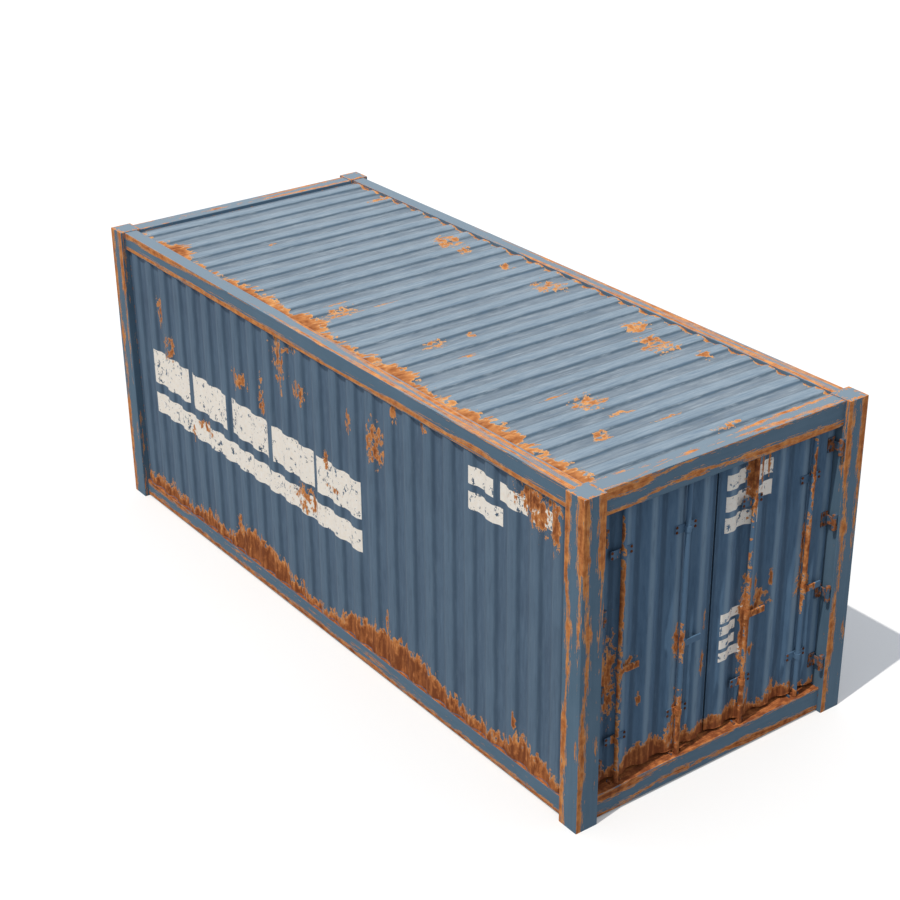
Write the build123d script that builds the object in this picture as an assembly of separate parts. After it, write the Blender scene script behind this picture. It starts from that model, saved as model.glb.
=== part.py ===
# Twenty foot dry freight container: a steel frame with corrugated walls and roof, a board floor
# and two hinged doors that carry two lock bars each.
# Length runs along X with the door end at +X, width along Y, Z is up, millimetres.
# The origin is on the ground under the middle of the box.
import os

from build123d import *

# Overall size
length = 6058.0
width = 2438.0
height = 2438.0

# Corner posts, and the fittings that cap and foot them
post_size = 178.0
post_wall = 6.0
edge_radius = 5.0
cap_edge_radius = 4.0
fitting_height = 118.0
fitting_wall = 16.0
fitting_plate = 28.0
slot_length = 124.0
slot_width = 63.5
slot_inset_x = 102.5
slot_inset_y = 89.5

# Rails and beams between the posts
rail_recess = 38.0
foot_clearance = 12.5
cap_clearance = 6.0
rail_wall = 4.0
rail_width = 110.0
top_rail_height = 147.0
bottom_rail_height = 143.0
door_beam_height = 182.0

# Corrugated sheets: walls, front end and roof
sheet_thickness = 2.0
wall_recess = 44.0
wall_depth = 20.0
wall_slope = 46.0
side_waves = 25
front_waves = 9
roof_drop = 8.0
roof_depth = 20.0
roof_slope = 50.0
roof_waves = 25

# Floor and the members under it
floor_thickness = 28.0
floor_gap = 3.0
cross_count = 18
cross_height = 122.0
cross_flange = 45.0
cross_wall = 4.5

# Door leaves, with depths measured in from the outer face of the posts
door_face_depth = 98.0
door_wave_depth = 30.0
door_wave_slope = 45.0
door_half_waves = 9
hinge_edge_flat = 36.0
seam_gap = 23.0
leaf_side_gap = 12.0
leaf_end_gap = 26.0
leaf_frame_depth = 28.0
leaf_frame_width = 60.0
leaf_frame_wall = 3.0
gasket_thickness = 5.0
gasket_depth = 16.0
stop_gap = 6.0
stop_thickness = 8.0
stop_reach = 45.0
stop_corner_gap = 2.0

# Hinges
hinge_count = 4
hinge_low_margin = 200.0
hinge_high_margin = 120.0
pin_radius = 8.0
pin_clearance = 0.4
pin_depth = 22.0
pin_side_gap = 22.0
knuckle_radius = 16.0
knuckle_height = 60.0
lug_height = 28.0
lug_gap = 1.0
lug_depth = 22.0
blade_thickness = 12.0
strap_thickness = 8.0
strap_width = 60.0
strap_height = 110.0

# Lock bars, their guides and keepers
bar_radius = 17.0
bar_clearance = 0.4
bar_depth = 72.0
bar_seam_inset = 280.5
bar_hinge_inset = 202.0
bar_end_gap = 5.0
cam_thickness = 10.0
cam_width = 24.0
cam_reach = 30.0
handle_height = 1065.0
hub_radius = 20.0
hub_height = 70.0
lever_length = 150.0
lever_height = 44.0
lever_thickness = 12.0
lever_offset = 4.0
guide_wall = 4.6
guide_height = 40.0
guide_plate_height = 60.0
guide_plate_thickness = 6.0
guide_bearing = 12.0
guide_margin = 310.0
keeper_gap = 36.0
keeper_thickness = 10.0
keeper_depth = 40.0
keeper_height = 16.0

# Planes that the pieces share
half_length = length / 2
half_width = width / 2
inner_x = half_length - post_size
inner_y = half_width - post_size
rail_outer_y = half_width - rail_recess
rail_inner_y = rail_outer_y - rail_width
beam_outer_x = half_length - rail_recess
low_z = foot_clearance
high_z = height - cap_clearance
wall_bottom = low_z + bottom_rail_height
wall_top = high_z - top_rail_height
sill_top = low_z + door_beam_height
header_bottom = high_z - door_beam_height

# Planes of the doors
door_face_x = half_length - door_face_depth
leaf_front_x = door_face_x - door_wave_depth - sheet_thickness
leaf_back_x = leaf_front_x - leaf_frame_depth
leaf_inner_y = seam_gap / 2
leaf_outer_y = inner_y - leaf_side_gap
leaf_bottom = sill_top + leaf_end_gap
leaf_top = header_bottom - leaf_end_gap
wave_step = (leaf_outer_y - leaf_inner_y - hinge_edge_flat) / door_half_waves
crest_flat = wave_step - door_wave_slope
pin_x = half_length - pin_depth
pin_y = inner_y - pin_side_gap
bar_x = half_length - bar_depth
bar_inner = leaf_inner_y + bar_seam_inset
bar_outer = leaf_outer_y - bar_hinge_inset
bar_bottom = sill_top + bar_end_gap
bar_top = header_bottom - bar_end_gap


def block(x, y, z):
    size = [high - low for low, high in (x, y, z)]
    middle = [(high + low) / 2 for low, high in (x, y, z)]
    return Pos(*middle) * Box(*size)


def rod(x, y, z, radius):
    return Pos(x, y, (z[0] + z[1]) / 2) * Cylinder(radius, z[1] - z[0])


def mirrored(side, low, high):
    return tuple(sorted((side * low, side * high)))


def inset(span, wall):
    return (span[0] + wall, span[1] - wall)


# The long edges of a folded section are rounded, but never through its wall.
def rounded(shape, axis, wall):
    return fillet(shape.edges().filter_by(axis), min(edge_radius, 3 * wall))


def tube_x(x, y, z, wall):
    return rounded(block(x, y, z), Axis.X, wall) - block(x, inset(y, wall), inset(z, wall))


def tube_y(x, y, z, wall):
    return rounded(block(x, y, z), Axis.Y, wall) - block(inset(x, wall), y, inset(z, wall))


def tube_z(x, y, z, wall):
    return rounded(block(x, y, z), Axis.Z, wall) - block(inset(x, wall), inset(y, wall), z)


# One face line of a corrugated sheet: (place along the sheet, level), level 0 in a trough, 1 on a crest.
def wave_line(start, stop, half_waves, slope):
    step = (stop - start) / half_waves
    line = [(start, 0)]
    for i in range(half_waves):
        middle = start + (i + 0.5) * step
        line.append((middle - slope / 2, i % 2))
        line.append((middle + slope / 2, (i + 1) % 2))
    line.append((stop, half_waves % 2))
    return line


# Closes a face line with a second one behind it and drives the outline along a direction.
def sheet(front, back, direction, run):
    outline = Polyline(front + back[::-1], close=True)
    return extrude(make_face(outline), run, dir=direction)


def corner_posts():
    posts = {}
    for end, side_x in (("front", -1), ("door", 1)):
        for hand, side_y in (("left", -1), ("right", 1)):
            x = mirrored(side_x, inner_x, half_length)
            y = mirrored(side_y, inner_y, half_width)
            post = tube_z(x, y, (fitting_height, height - fitting_height), post_wall)
            cap = rounded(block(x, y, (height - fitting_height, height)), Axis.Z, fitting_wall)
            cap = fillet(cap.faces().sort_by(Axis.Z)[-1].edges(), cap_edge_radius)
            cap -= block(inset(x, fitting_wall), inset(y, fitting_wall),
                         (height - fitting_height, height - fitting_plate))
            foot = rounded(block(x, y, (0, fitting_height)), Axis.Z, fitting_wall)
            foot -= block(inset(x, fitting_wall), inset(y, fitting_wall), (fitting_plate, fitting_height))
            slot = extrude(SlotOverall(slot_length, slot_width), fitting_plate)
            foot -= Pos(side_x * (half_length - slot_inset_x), side_y * (half_width - slot_inset_y), 0) * slot
            posts[f"{end}_{hand}_post"] = post
            posts[f"{end}_{hand}_top_fitting"] = cap
            posts[f"{end}_{hand}_bottom_fitting"] = foot
    return posts


def rails_and_beams():
    x = (-inner_x, inner_x)
    across = (-inner_y, inner_y)
    members = {}
    for hand, side in (("left", -1), ("right", 1)):
        y = mirrored(side, rail_inner_y, rail_outer_y)
        members[f"{hand}_top_rail"] = tube_x(x, y, (wall_top, high_z), rail_wall)
        members[f"{hand}_bottom_rail"] = tube_x(x, y, (low_z, wall_bottom), rail_wall)
    front = (-beam_outer_x, -inner_x)
    door = (inner_x, beam_outer_x)
    members["front_header"] = tube_y(front, across, (wall_top, high_z), rail_wall)
    members["front_sill"] = tube_y(front, across, (low_z, wall_bottom), rail_wall)
    members["door_header"] = tube_y(door, across, (header_bottom, high_z), rail_wall)
    members["door_sill"] = tube_y(door, across, (low_z, sill_top), rail_wall)
    return members


def side_wall(side):
    crest = half_width - wall_recess
    line = wave_line(-inner_x, inner_x, 2 * side_waves, wall_slope)
    front = [(x, side * (crest - (1 - level) * wall_depth), wall_bottom) for x, level in line]
    back = [(x, y - side * sheet_thickness, z) for x, y, z in front]
    return sheet(front, back, (0, 0, 1), wall_top - wall_bottom)


def front_wall():
    crest = half_length - wall_recess
    line = wave_line(-inner_y, inner_y, 2 * front_waves, wall_slope)
    front = [(-crest + (1 - level) * wall_depth, y, wall_bottom) for y, level in line]
    back = [(x + sheet_thickness, y, z) for x, y, z in front]
    return sheet(front, back, (0, 0, 1), wall_top - wall_bottom)


def roof():
    crest = high_z - roof_drop
    line = wave_line(-inner_x, inner_x, 2 * roof_waves, roof_slope)
    front = [(x, -rail_inner_y, crest - (1 - level) * roof_depth) for x, level in line]
    back = [(x, y, z - sheet_thickness) for x, y, z in front]
    return sheet(front, back, (0, 1, 0), 2 * rail_inner_y)


# The boards lie on the rails and cross members, and run out over the front sill between the posts.
def floor():
    wall_inside = wall_recess + wall_depth + sheet_thickness + floor_gap
    z = (wall_bottom, wall_bottom + floor_thickness)
    bay_y = half_width - wall_inside
    bay = block((-inner_x + floor_gap, inner_x - floor_gap), (-bay_y, bay_y), z)
    tongue_y = inner_y - floor_gap
    return bay + block((-half_length + wall_inside, 0), (-tongue_y, tongue_y), z)


# Channels across the underside, open towards the front end.
def floor_cross_members():
    pitch = 2 * inner_x / (cross_count + 1)
    z = (wall_bottom - cross_height, wall_bottom)
    y = (-rail_inner_y, rail_inner_y)
    members = []
    for i in range(1, cross_count + 1):
        x = -inner_x + i * pitch
        channel = block((x - cross_flange / 2, x + cross_flange / 2), y, z)
        channel -= block((x - cross_flange / 2, x + cross_flange / 2 - cross_wall), y, inset(z, cross_wall))
        members.append(channel)
    return members


# Strips behind the leaves, on the header, the sill and the two posts.
def door_stops():
    x = (leaf_back_x - stop_gap - stop_thickness, leaf_back_x - stop_gap)
    strips = [block(x, (-inner_y, inner_y), (header_bottom - stop_reach, header_bottom)),
              block(x, (-inner_y, inner_y), (sill_top, sill_top + stop_reach))]
    upright = inset((sill_top + stop_reach, header_bottom - stop_reach), stop_corner_gap)
    for side in (-1, 1):
        strips.append(block(x, mirrored(side, inner_y - stop_reach, inner_y), upright))
    return strips


# Corrugated skin of a leaf: a trough at the seam, a crest at the hinges.
def door_skin(side):
    line = wave_line(leaf_inner_y, leaf_outer_y - hinge_edge_flat, door_half_waves, door_wave_slope)
    line.append((leaf_outer_y, door_half_waves % 2))
    front = [(door_face_x - (1 - level) * door_wave_depth, side * y, leaf_bottom) for y, level in line]
    back = [(x - sheet_thickness, y, z) for x, y, z in front]
    return sheet(front, back, (0, 0, 1), leaf_top - leaf_bottom)


def door_frame(side):
    x = (leaf_back_x, leaf_front_x)
    z = (leaf_bottom, leaf_top)
    seam_stile = mirrored(side, leaf_inner_y, leaf_inner_y + leaf_frame_width)
    hinge_stile = mirrored(side, leaf_outer_y - leaf_frame_width, leaf_outer_y)
    between = mirrored(side, leaf_inner_y + leaf_frame_width, leaf_outer_y - leaf_frame_width)
    frame = tube_z(x, seam_stile, z, leaf_frame_wall) + tube_z(x, hinge_stile, z, leaf_frame_wall)
    frame += tube_y(x, between, (leaf_bottom, leaf_bottom + leaf_frame_width), leaf_frame_wall)
    return frame + tube_y(x, between, (leaf_top - leaf_frame_width, leaf_top), leaf_frame_wall)


def door_gasket(side):
    x = (leaf_back_x, leaf_back_x + gasket_depth)
    y = mirrored(side, leaf_inner_y, leaf_outer_y)
    z = (leaf_bottom, leaf_top)
    return block(x, inset(y, -gasket_thickness), inset(z, -gasket_thickness)) - block(x, y, z)


def hinge_places():
    low = leaf_bottom + hinge_low_margin
    high = leaf_top - hinge_high_margin
    return [low + i * (high - low) / (hinge_count - 1) for i in range(hinge_count)]


# Blade, knuckle and strap of each hinge, welded to the crest at the edge of the leaf.
def door_hinges(side):
    hinges = []
    for z in hinge_places():
        knuckle = (z - knuckle_height / 2, z + knuckle_height / 2)
        blade_y = mirrored(side, pin_y - blade_thickness / 2, pin_y + blade_thickness / 2)
        strap_y = mirrored(side, leaf_outer_y - strap_width, leaf_outer_y)
        hinge = rod(pin_x, side * pin_y, knuckle, knuckle_radius)
        hinge += block((door_face_x, pin_x), blade_y, knuckle)
        hinge += block((door_face_x, door_face_x + strap_thickness), strap_y,
                       (z - strap_height / 2, z + strap_height / 2))
        hinges.append(hinge - rod(pin_x, side * pin_y, knuckle, pin_radius + pin_clearance))
    return hinges


# Two lugs on the post with the pin between them, at each hinge.
def hinge_lugs(side):
    lugs = []
    for z in hinge_places():
        lower = z - knuckle_height / 2 - lug_gap
        upper = z + knuckle_height / 2 + lug_gap
        lug = rod(pin_x, side * pin_y, (lower - lug_height, upper + lug_height), pin_radius)
        for span in ((lower - lug_height, lower), (upper, upper + lug_height)):
            lug += rod(pin_x, side * pin_y, span, knuckle_radius)
            lug += block((pin_x - lug_depth / 2, pin_x + lug_depth / 2), mirrored(side, pin_y, inner_y), span)
        lugs.append(lug)
    return lugs


# Bar with a cam at each end that points into the box, and a lever handle that lies to the right.
def lock_bar(y):
    bar = rod(bar_x, y, (bar_bottom, bar_top), bar_radius)
    for span in ((bar_bottom, bar_bottom + cam_thickness), (bar_top - cam_thickness, bar_top)):
        tip = bar_x - cam_reach + cam_width / 2
        bar += block((tip, bar_x), (y - cam_width / 2, y + cam_width / 2), span)
        bar += rod(tip, y, span, cam_width / 2)
    bar += rod(bar_x, y, (handle_height - hub_height / 2, handle_height + hub_height / 2), hub_radius)
    lever = block((bar_x + lever_offset, bar_x + lever_offset + lever_thickness), (y, y + lever_length),
                  (handle_height - lever_height / 2, handle_height + lever_height / 2))
    return bar + lever


# Rings that the bars turn in, each on a plate that bears on the crests of the skin.
def bar_guides(side):
    guides = []
    half_plate = wave_step - crest_flat / 2 + guide_bearing
    plate_front = door_face_x + guide_plate_thickness
    for y in (side * bar_inner, side * bar_outer):
        for z in (leaf_bottom + guide_margin, leaf_top - guide_margin):
            ring_z = (z - guide_height / 2, z + guide_height / 2)
            guide = rod(bar_x, y, ring_z, bar_radius + guide_wall)
            guide += block((plate_front, bar_x), (y - bar_radius, y + bar_radius), ring_z)
            guide -= rod(bar_x, y, ring_z, bar_radius + bar_clearance)
            guide += block((door_face_x, plate_front), (y - half_plate, y + half_plate),
                           (z - guide_plate_height / 2, z + guide_plate_height / 2))
            guides.append(guide)
    return guides


# Pairs of lugs that the cams turn between.
def keepers(z):
    lugs = []
    for y in (-bar_outer, -bar_inner, bar_inner, bar_outer):
        for side in (-1, 1):
            near = y + side * keeper_gap
            far = near + side * keeper_thickness
            lugs.append(block((bar_x - keeper_depth, bar_x), tuple(sorted((near, far))), z))
    return lugs


nodes = {}
nodes.update(corner_posts())
nodes.update(rails_and_beams())
nodes["left_wall"] = side_wall(-1)
nodes["right_wall"] = side_wall(1)
nodes["front_wall"] = front_wall()
nodes["roof"] = roof()
nodes["floor"] = floor()
nodes["floor_cross_members"] = floor_cross_members()
nodes["door_stops"] = door_stops()
nodes["header_keepers"] = keepers((header_bottom - keeper_height, header_bottom))
nodes["sill_keepers"] = keepers((sill_top, sill_top + keeper_height))
for hand, side in (("left", -1), ("right", 1)):
    nodes[f"{hand}_hinge_lugs"] = hinge_lugs(side)
    nodes[f"{hand}_door_skin"] = door_skin(side)
    nodes[f"{hand}_door_frame"] = door_frame(side)
    nodes[f"{hand}_door_gasket"] = door_gasket(side)
    nodes[f"{hand}_door_hinges"] = door_hinges(side)
    nodes[f"{hand}_bar_guides"] = bar_guides(side)
    nodes[f"{hand}_outer_lock_bar"] = lock_bar(side * bar_outer)
    nodes[f"{hand}_inner_lock_bar"] = lock_bar(side * bar_inner)

os.makedirs("parts", exist_ok=True)
for name, shape in nodes.items():
    if isinstance(shape, list):
        shape = Compound(shape)
    export_step(shape, f"parts/{name}.step")
    print(f"{name}: {shape.volume / 1000:.1f} cm3")
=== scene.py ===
import math
from functools import partial

import bpy
from mathutils import Matrix, Vector


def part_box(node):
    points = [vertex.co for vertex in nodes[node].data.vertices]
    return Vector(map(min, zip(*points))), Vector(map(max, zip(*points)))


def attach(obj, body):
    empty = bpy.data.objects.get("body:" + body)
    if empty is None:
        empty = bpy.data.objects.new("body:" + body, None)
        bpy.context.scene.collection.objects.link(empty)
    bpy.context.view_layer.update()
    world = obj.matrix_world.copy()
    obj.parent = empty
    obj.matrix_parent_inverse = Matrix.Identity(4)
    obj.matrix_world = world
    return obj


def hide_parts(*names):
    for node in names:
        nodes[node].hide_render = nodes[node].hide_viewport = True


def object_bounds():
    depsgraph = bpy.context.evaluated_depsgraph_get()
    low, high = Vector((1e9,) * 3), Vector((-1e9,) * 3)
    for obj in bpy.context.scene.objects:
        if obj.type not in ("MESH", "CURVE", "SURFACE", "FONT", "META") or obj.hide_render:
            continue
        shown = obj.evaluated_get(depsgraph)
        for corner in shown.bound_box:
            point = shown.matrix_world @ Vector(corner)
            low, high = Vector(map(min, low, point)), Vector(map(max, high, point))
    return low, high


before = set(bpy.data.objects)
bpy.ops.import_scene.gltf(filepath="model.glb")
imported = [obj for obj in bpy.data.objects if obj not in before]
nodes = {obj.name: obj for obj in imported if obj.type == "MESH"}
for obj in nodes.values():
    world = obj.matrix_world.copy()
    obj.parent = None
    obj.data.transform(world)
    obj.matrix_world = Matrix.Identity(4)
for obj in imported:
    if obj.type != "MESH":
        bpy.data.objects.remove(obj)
cadLow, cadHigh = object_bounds()
print("frame loaded:", len(nodes), "nodes")

sheetThickness = 0.002
sharpDegrees = 40
hands = {"left": -1, "right": 1}
lockBars = (0.292, 0.827)  # of a leaf, in metres from the middle


def linearColour(code):  # sRGB hex to linear RGBA
    shares = [int(code[i:i + 2], 16) / 255 for i in (1, 3, 5)]
    return [s / 12.92 if s <= 0.04045 else ((s + 0.055) / 1.055) ** 2.4 for s in shares] + [1.0]


# adds a node with its settings and links. A shader node's kind goes without its prefix, a word after a
# point is its operation or data type, and a list of links fills the sockets in use in their order
def addNode(tree, kind, links=(), stops=(), points=(), **settings):
    kind, _, mode = kind.partition(".")
    node = tree.nodes.new(kind if "Node" in kind else "ShaderNode" + kind)
    if mode:
        settings["data_type" if kind == "Mix" else "operation"] = mode
    for key, value in settings.items():
        setattr(node, key, value)
    sockets = [s for s in node.inputs if s.enabled]
    if isinstance(links, dict):
        sockets = [next(s for s in sockets if s.name == key) for key in links]
        links = links.values()
    for socket, value in zip(sockets, links):
        if isinstance(value, bpy.types.Node):
            value = next(o for o in value.outputs if o.enabled)
        if isinstance(value, bpy.types.NodeSocket):
            tree.links.new(value, socket)
        else:
            socket.default_value = linearColour(value) if isinstance(value, str) else value
    for i, (place, code) in enumerate(stops):  # colour ramp, ends first
        ramp = node.color_ramp.elements
        stop = ramp[i] if i < 2 else ramp.new(place)
        stop.position, stop.color = place, linearColour(code)
    for i, (place, value) in enumerate(points):  # curve, ends first
        curve = node.mapping.curves[0].points
        if i < 2:
            curve[i].location = (place, value)
        else:
            curve.new(place, value)
    if points:
        node.mapping.update()
    return node


# Materials

# corrugated sheets: their paint follows the same waves; a leaf is flat beside its hinges
wallSheet = {"halfWaves": 50, "hingeFlat": 0.0, "slope": 0.046, "dent": 0.007, "dentSize": 0.55}
frontSheet = {**wallSheet, "halfWaves": 18}
roofSheet = {"halfWaves": 50, "hingeFlat": 0.0, "slope": 0.050, "dent": 0.008, "dentSize": 0.5}
doorSheet = {"halfWaves": 9, "hingeFlat": 0.036, "slope": 0.045, "dent": 0.005, "dentSize": 0.5}


def wavePitch(length, sheet):
    return 2 * (length - sheet["hingeFlat"]) / sheet["halfWaves"]


rustTones = {"rim": "#eab17a", "fresh": "#df9a5b", "old": "#bd7543", "dark": "#7d4629"}
# the roof's rust: a paler, greyer copy of the rust tones, a painted sheen
paintedSheenRust = {"rim": "#e8b880", "fresh": "#d89a60", "old": "#b87746", "dark": "#884e2c"}
# levels of the rust field: a stain in the paint starts at "stainFrom", the paint has gone at "edge", and
# the rust's pale rim ends at "rimEnd"
rustRule = {
    "lowest": -1.6, "highest": 1.2, "stainFrom": -0.3, "stainShare": 0.2, "stain": "#4c4a48", "edge": 0.08,
    "rimEnd": 0.24, "rimShare": 0.7, "depthShare": 0.7, "grainMm": 14.0, "roughness": 0.92, "shine": 0.14,
    "bump": 0.35, "scaleHeight": 0.003, "blotchGain": 1.5, "blotchBase": -0.55, "grainGain": 0.3,
    "heightGain": 0.6, "heightBase": 0.4,
}
fadeRule = {"cloudMm": 520.0, "cloudGain": 1.2, "base": -0.1, "brush": 0.9}


def openFinish(name):
    finish = bpy.data.materials.new(name)
    finish.use_nodes = True
    finish.node_tree.nodes.clear()
    add = partial(addNode, finish.node_tree)
    return finish, add, add("TexCoord")


# cloudy pattern with blotches of the given sizes along X, Y and Z
def mottle(add, where, sizeMm, detail=4.0, roughness=0.6, turn=(0, 0, 0), shift=0.0):
    spot = add("Mapping",
               {"Vector": where.outputs["Object"], "Location": (shift, shift, shift), "Rotation": turn,
                "Scale": [s / 1000 for s in sizeMm]}, vector_type="TEXTURE")
    return add("TexNoise", {"Vector": spot, "Scale": 1.0, "Detail": detail, "Roughness": roughness})


# highest in the middle of the nearest patch, 0 on its rim, below 0 outside; a row is centre and half size
def patchField(add, spot, rows, most, scale=(1.0, 1.0), depth=1.0):
    nearest = None
    for x, y, halfX, halfY in rows:
        local = add("Mapping", {"Vector": spot, "Location": (x, y, 0.0),
                                "Scale": (scale[0] * halfX, scale[1] * halfY, depth)},
                    vector_type="TEXTURE")
        reach = add("VectorMath.LENGTH", [local]).outputs["Value"]
        nearest = add("Math.MINIMUM", [nearest, reach]) if nearest else reach
    field = add("Math.SUBTRACT", [1.0, nearest])
    return add("Math.MINIMUM", [field, most])


# value of a curve at the share of the way from start to end
def curveAlong(add, along, start, end, points):
    share = add("MapRange", {"Value": along, "From Min": start, "From Max": end})
    return add("FloatCurve", {"Value": share}, points=points)


# above 0 within reach of an edge, softened over a distance
def edgeBand(add, reach, place, edge, soft):
    away = add("Math.SUBTRACT", [place, edge])
    band = add("Math.SUBTRACT", [reach, away])
    return add("Math.DIVIDE", [band, soft])


# eats the shape's outline away with a pattern, so that it ends in tongues and loose specks
def ragged(add, shape, pattern, bite):
    held = add("Clamp", {"Value": shape, "Min": rustRule["lowest"], "Max": rustRule["highest"]})
    swing = add("Math.SUBTRACT", [pattern, 0.5])
    return add("Math.MULTIPLY_ADD", [swing, bite, held])


# ends a material: colour, roughness, and a height raised with a strength over a distance in metres
def closeSurface(add, colour, roughness, height, strength, distance, shine=0.5):
    bump = add("Bump", {"Strength": strength, "Distance": distance, "Height": height})
    shader = add("BsdfPrincipled", {"Base Color": colour, "Roughness": roughness,
                                    "Specular IOR Level": shine, "Normal": bump})
    add("OutputMaterial", [shader])


# paint that has gone where the field is above 0: rust with a pale rim and a dark heart, rough and raised
def closeFinish(finish, add, where, paint, field, gloss=0.6, deep=1.0, blotchMm=(70.0, 70.0, 70.0),
                tones=rustTones):
    gone = add("MapRange", {"Value": field, "From Max": rustRule["edge"]},
               interpolation_type="SMOOTHSTEP")
    blotch = mottle(add, where, blotchMm, 3.0, 0.55, shift=3.1)
    grain = mottle(add, where, [rustRule["grainMm"]] * 3, 3.0, shift=7.7)
    tone = add("Math.MULTIPLY_ADD", [blotch, rustRule["blotchGain"], rustRule["blotchBase"]])
    depth = add("MapRange", {"Value": field, "From Max": deep, "To Max": rustRule["depthShare"]})
    tone = add("Math.ADD", [depth, tone])
    speck = add("Math.MULTIPLY_ADD", [grain, rustRule["grainGain"], -rustRule["grainGain"] / 2])
    tone = add("Math.ADD", [tone, speck])
    rust = add("ValToRGB", [tone],
               stops=[(0.0, tones["fresh"]), (1.0, tones["dark"]), (0.5, tones["old"])])
    rim = add("MapRange", {"Value": field, "From Min": rustRule["rimEnd"],
                           "From Max": rustRule["edge"], "To Max": rustRule["rimShare"]},
              interpolation_type="SMOOTHSTEP")
    rust = add("Mix.RGBA", [rim, rust, tones["rim"]])
    stain = add("MapRange", {"Value": field, "From Min": rustRule["stainFrom"], "From Max": 0.0,
                             "To Max": rustRule["stainShare"]})
    stained = add("Mix.RGBA", [stain, paint, rustRule["stain"]])
    colour = add("Mix.RGBA", [gone, stained, rust])
    rough = add("MapRange", {"Value": gone, "To Min": gloss, "To Max": rustRule["roughness"]})
    scale = add("Math.ADD", [blotch, grain])
    height = add("Math.MULTIPLY_ADD", [scale, rustRule["heightGain"], rustRule["heightBase"]])
    height = add("Math.MULTIPLY", [height, gone])
    closeSurface(add, colour, rough, height, rustRule["bump"], rustRule["scaleHeight"], rustRule["shine"])
    return finish


# faded paint: cloudy patches and brush streaks in two tones
def fadedPaint(add, where, look, streakMm):
    brush = look.get("brush", fadeRule["brush"])
    cloud = mottle(add, where, [fadeRule["cloudMm"]] * 3)
    streak = mottle(add, where, streakMm, 5.0, 0.65, shift=1.7)
    share = add("Math.MULTIPLY_ADD", [cloud, fadeRule["cloudGain"], fadeRule["base"] - brush / 2])
    share = add("Math.MULTIPLY_ADD", [streak, brush, share], use_clamp=True)
    return add("Mix.RGBA", [share, look["paint"], look["faded"]])


# bands of painted highlight and painted shade along each rib: (place in the wave, outer and inner half
# width, share, tint)
def paintedRibLightAndShade(add, along, start, pitch, paint, look):
    run = add("Math.SUBTRACT", [along, start])
    phase = add("Math.DIVIDE", [run, pitch])
    phase = add("Math.FRACT", [phase])
    for middle, wide, narrow, share, tint in look["paintedLightBands"]:
        off = add("Math.SUBTRACT", [phase, middle])
        off = add("Math.ABSOLUTE", [off])
        band = add("MapRange", {"Value": off, "From Min": wide, "From Max": narrow, "To Max": share},
                   interpolation_type="SMOOTHSTEP")
        paint = add("Mix.RGBA", [band, paint, tint])
    return paint


# streaks left by rain: dirt in one half of a pattern, chalked paint in the other
def weathered(add, where, paint, look):
    rain = mottle(add, where, look["rainMm"], detail=5.0, roughness=0.7, shift=6.1)
    for start, end, share, tint in look["rain"]:
        wash = add("MapRange", {"Value": rain, "From Min": start, "From Max": end, "To Max": share})
        paint = add("Mix.RGBA", [wash, paint, tint])
    return paint


# paint of a corrugated sheet: faded, with painted highlight and painted shade along its ribs, streaked by
# rain
def sheetPaint(add, where, along, start, length, sheet, look):
    paint = fadedPaint(add, where, look, look["streakMm"])
    paint = paintedRibLightAndShade(add, along, start, wavePitch(length, sheet), paint, look)
    return weathered(add, where, paint, look)


stencil = {"white": "#fffdf8", "dust": "#f6e7d3", "chipMm": (45.0, 45.0, 60.0), "dustMm": 25.0,
           "chippedFrom": 0.57, "chippedTo": 0.60}


# worn white bars on the outside, chipped by a fine pattern; a row is centre and half size
def stencilBars(add, where, spot, outward, paint, rows):
    mask = 0.0
    for x, y, halfX, halfY in rows:
        local = add("Mapping", {"Vector": spot, "Location": (x, y, 0.0),
                                "Scale": (halfX, halfY, 1.0)}, vector_type="TEXTURE")
        parts = add("VectorMath.ABSOLUTE", [local])
        parts = add("SeparateXYZ", [parts])
        edge = add("Math.MAXIMUM", [parts.outputs["X"], parts.outputs["Y"]])
        inside = add("Math.LESS_THAN", [edge, 1.0])
        mask = add("Math.MAXIMUM", [mask, inside])
    chips = mottle(add, where, stencil["chipMm"], 7.0, 0.72, shift=5.3)
    worn = add("MapRange", {"Value": chips, "From Min": stencil["chippedTo"],
                            "From Max": stencil["chippedFrom"]}, interpolation_type="SMOOTHSTEP")
    mask = add("Math.MULTIPLY", [mask, worn])
    dust = mottle(add, where, [stencil["dustMm"]] * 3, 3.0, shift=9.1)
    tint = add("Mix.RGBA", [dust, stencil["white"], stencil["dust"]])
    marked = add("Mix.RGBA", [mask, paint, tint])
    return add("Mix.RGBA", [outward, paint, marked])


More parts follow.
